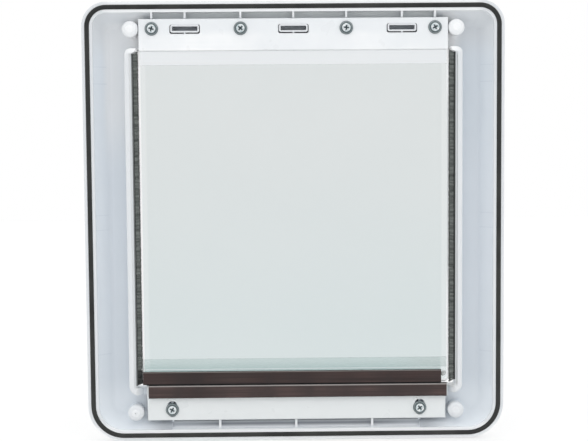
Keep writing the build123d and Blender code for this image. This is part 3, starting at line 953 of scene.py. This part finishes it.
# Painted shade: the sill bar is the same white strip as the head bar, painted greyer because it lies in the
# magnet's shade.
SHADED_SILL_WHITE = drawn_white("sill_white_in_shade", colour(0.825, 0.845, 0.845), colour(0.815, 0.84, 0.84), 0.5, sill_top)
RUBBER = black_rubber()
BACKING = brush_backing()
FIBRE = brush_fibre()
CLEAR = clear_flap()
MILKY = milky_strip()
CARRIER = green_carrier()
FLAP_BROWN = magnet_brown(
    "flap_magnet_brown", colour(0.058, 0.031, 0.027), colour(0.022, 0.011, 0.010), colour(0.19, 0.17, 0.16),
    *span("flap_magnet"), line=0.7, under=1.0)
SILL_BROWN = magnet_brown(
    "sill_magnet_brown", colour(0.084, 0.050, 0.046), colour(0.034, 0.020, 0.018), colour(0.30, 0.275, 0.265),
    *span("sill_magnet"), line=1.1, under=0.4)
ZINC = bright_zinc()
GLUE = cloudy_glue()


def finish_node(look, *names):
    """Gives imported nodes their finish."""
    for name in names:
        nodes[name].data.materials.clear()
        nodes[name].data.materials.append(look)


finish_node(MOULDED, "frame")
finish_node(BAR_WHITE, "head_bar")
finish_node(SHADED_SILL_WHITE, "sill_bar")
finish_node(BACKING, "left_brush_base", "right_brush_base")
finish_node(CLEAR, "hinge_strip")
finish_node(FLAP_BROWN, "flap_magnet")
finish_node(SILL_BROWN, "sill_magnet")


def hang(obj):
    """Bakes the placement of a piece of the flap below the head bar into its mesh."""
    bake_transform(obj)


def flap_pieces():
    """The sheet from the head bar down, the strips behind it, parted by a thin film of air, and a ribbon of
    painted highlight along its edge.
    """
    film = np.array((0, SKIN, 0))
    top = BAR_LOW[2] + BEHIND_BAR
    high = np.array((FLAP_HIGH[0], FLAP_HIGH[1] - SKIN, top))
    points, faces, away = sheet_surface(FLAP_LOW + film, high, FLAP_CORNER, FLAP_EDGE, 14 * MM)
    sheet = piece("flap_clear_sheet", points, faces, CLEAR, "clear_sheet", away=away)
    hang(sheet)
    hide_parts("flap_sheet")
    high = np.array((BAND_HIGH[0], BAND_HIGH[1] - SKIN, top))
    points, faces, _ = sheet_surface(BAND_LOW + film, high, 0.5 * MM, 0.3 * MM, 8 * MM)
    band = piece("flap_milky_band", points, faces, MILKY, "milky_strip")
    hang(band)
    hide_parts("flap_head_band")
    inset = np.array((STRIP_SIDE, SKIN, 0))
    points, faces, _ = sheet_surface(CARRIER_LOW + inset, CARRIER_HIGH - inset, FLAP_CORNER, STRIP_SIDE, 4 * MM)
    carrier = piece("flap_green_carrier", points, faces, CARRIER, "clear_sheet")
    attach(carrier, "flap")
    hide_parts("magnet_carrier")
    stop = MAGNET_HIGH[0] + 0.3 * MM
    # A ribbon of painted highlight on the flap's right edge.
    points, faces = edge_glint_ribbon(FLAP_LOW + film, FLAP_HIGH - film, FLAP_CORNER, stop)
    edge = piece("flap_edge_glint", points, faces, EDGE_GLINT, "clear_sheet")
    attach(edge, "flap")
    points, faces = glue_surface(*GLUE_PLACE, FLAP_LOW[1] + SKIN)
    glue = piece("magnet_end_glue", points, faces, GLUE, "clear_sheet")
    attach(glue, "flap")


def frame_pieces():
    """The gasket's cord, the brushes' fibres, the screws and the moulded boss ends."""
    cord = piece("rim_gasket_cord", *gasket_surface(), RUBBER, "black_rubber")
    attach(cord, "frame")
    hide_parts("rim_gasket")
    for side, name in ((-1, "left"), (1, "right")):
        points, faces, tone = fibre_surface(f"{name}_brush_pile", side, 20 + side)
        pile = piece(f"{name}_brush_fibres", points, faces, FIBRE, "brush_pile", joined=False, tone=tone)
        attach(pile, "frame")
        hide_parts(f"{name}_brush_pile")
    for name, twist in SCREW_TWISTS.items():
        points, faces, dull = screw_surface(name, twist)
        screw = piece(f"{name}_turned", points, faces, ZINC, "zinc_screw", dull=dull)
        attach(screw, "frame")
        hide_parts(name)
    for number, (x, z, hole, bright, ring) in enumerate(BOSS_PLACES, start=1):
        points, faces, crown = boss_surface(x * MM, z * MM, hole * MM)
        # Painted light: each boss's crown and ring take their brightness from BOSS_PLACES.
        crown = ring + (bright - ring) * crown
        boss = piece(f"corner_boss_end_{number}", points, faces, BOSS_WHITE, "white_moulding", crown=crown)
        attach(boss, "frame")


flap_pieces()
frame_pieces()


def camera():
    """Looks along the picture's own line of sight, with its small roll."""
    yaw, pitch, roll = (math.radians(a) for a in (CAMERA_YAW, CAMERA_PITCH, CAMERA_ROLL))
    ahead = Vector((math.sin(yaw) * math.cos(pitch), math.cos(yaw) * math.cos(pitch), math.sin(pitch)))
    level = Vector((math.cos(yaw), -math.sin(yaw), 0))
    upright = level.cross(ahead)
    right = level * math.cos(roll) + upright * math.sin(roll)
    up = upright * math.cos(roll) - level * math.sin(roll)
    lens = bpy.data.cameras.new("camera")
    lens.sensor_fit = "HORIZONTAL"
    lens.sensor_width = SENSOR_WIDTH
    lens.lens = FOCAL_PIXELS / PICTURE_WIDTH * SENSOR_WIDTH
    eye = bpy.data.objects.new("camera", lens)
    bpy.context.collection.objects.link(eye)
    turn = Matrix((right, up, -ahead)).transposed().to_4x4()
    eye.matrix_world = Matrix.Translation(CAMERA_PLACE) @ turn
    bpy.context.scene.camera = eye


def blended(tree, share, first, second):
    """A mix of two shaders."""
    both = tree.nodes.new("ShaderNodeMixShader")
    for socket, value in zip(both.inputs, (share, first.outputs[0], second.outputs[0])):
        tree.links.new(value, socket)
    return both.outputs[0]


def studio_light():
    """A light tent: bright from above and the sides, cooler and dimmer from the camera's side, white behind."""
    world = bpy.data.worlds.new("studio")
    world.use_nodes = True
    bpy.context.scene.world = world
    tree = world.node_tree
    tree.nodes.clear()
    _, depth, height = parts_of(tree, tree.nodes.new("ShaderNodeTexCoord").outputs["Generated"])
    around = mixed(tree, ramp(tree, height, -0.3, 0.8), LOW_LIGHT, HIGH_LIGHT)
    room = mixed(tree, ramp(tree, depth, 0.15, 0.75), around, FAR_LIGHT)
    tent = mixed(tree, ramp(tree, depth, -0.45, -0.85), room, FRONT_LIGHT)
    light = node(tree, "ShaderNodeBackground", Color=tent, Strength=1.0)
    white = node(tree, "ShaderNodeBackground", Color=WHITE, Strength=1.0)
    path = tree.nodes.new("ShaderNodeLightPath").outputs
    mirrored = product(tree, path["Is Glossy Ray"], ramp(tree, depth, 0.05, 0.3))
    seen = most(tree, path["Is Camera Ray"], path["Is Transmission Ray"], mirrored)
    out = tree.nodes.new("ShaderNodeOutputWorld")
    tree.links.new(blended(tree, seen, light, white), out.inputs["Surface"])
    bpy.context.scene.view_settings.view_transform = "Standard"


def pale_floor():
    """A plain pale floor under the frame, nearly white where it is the picture's background."""
    look, tree, surface, place = fresh("pale_floor")
    plain(surface, Base_Color=colour(0.86, 0.86, 0.86), Roughness=0.7)
    depth = parts_of(tree, place)[1]
    path = tree.nodes.new("ShaderNodeLightPath").outputs
    mirrored = sums(tree, "GREATER_THAN", path["Is Glossy Ray"], path["Is Transmission Ray"])
    ahead = product(tree, mirrored, ramp(tree, depth, -0.1, -0.8))
    white = node(tree, "ShaderNodeEmission", Color=mixed(tree, ahead, WHITE, FRONT_LIGHT), Strength=1.0)
    background = product(tree, path["Is Camera Ray"], FLOOR_WHITENESS)
    seen = most(tree, background, path["Is Glossy Ray"], path["Is Transmission Ray"])
    out = tree.nodes["Material Output"]
    tree.links.new(blended(tree, seen, surface, white), out.inputs["Surface"])
    square = np.array(((-1, -1, 0), (1, -1, 0), (1, 1, 0), (-1, 1, 0)))
    corners = FLOOR_REACH * square + (0, 0, FRAME_LOW[2] - FLOOR_DROP)
    mesh = bpy.data.meshes.new("pale_floor")
    mesh.from_pydata(corners.tolist(), [], [(0, 1, 2, 3)])
    mesh.materials.append(look)
    floor = bpy.data.objects.new("pale_floor", mesh)
    bpy.context.collection.objects.link(floor)


camera()
studio_light()
pale_floor()
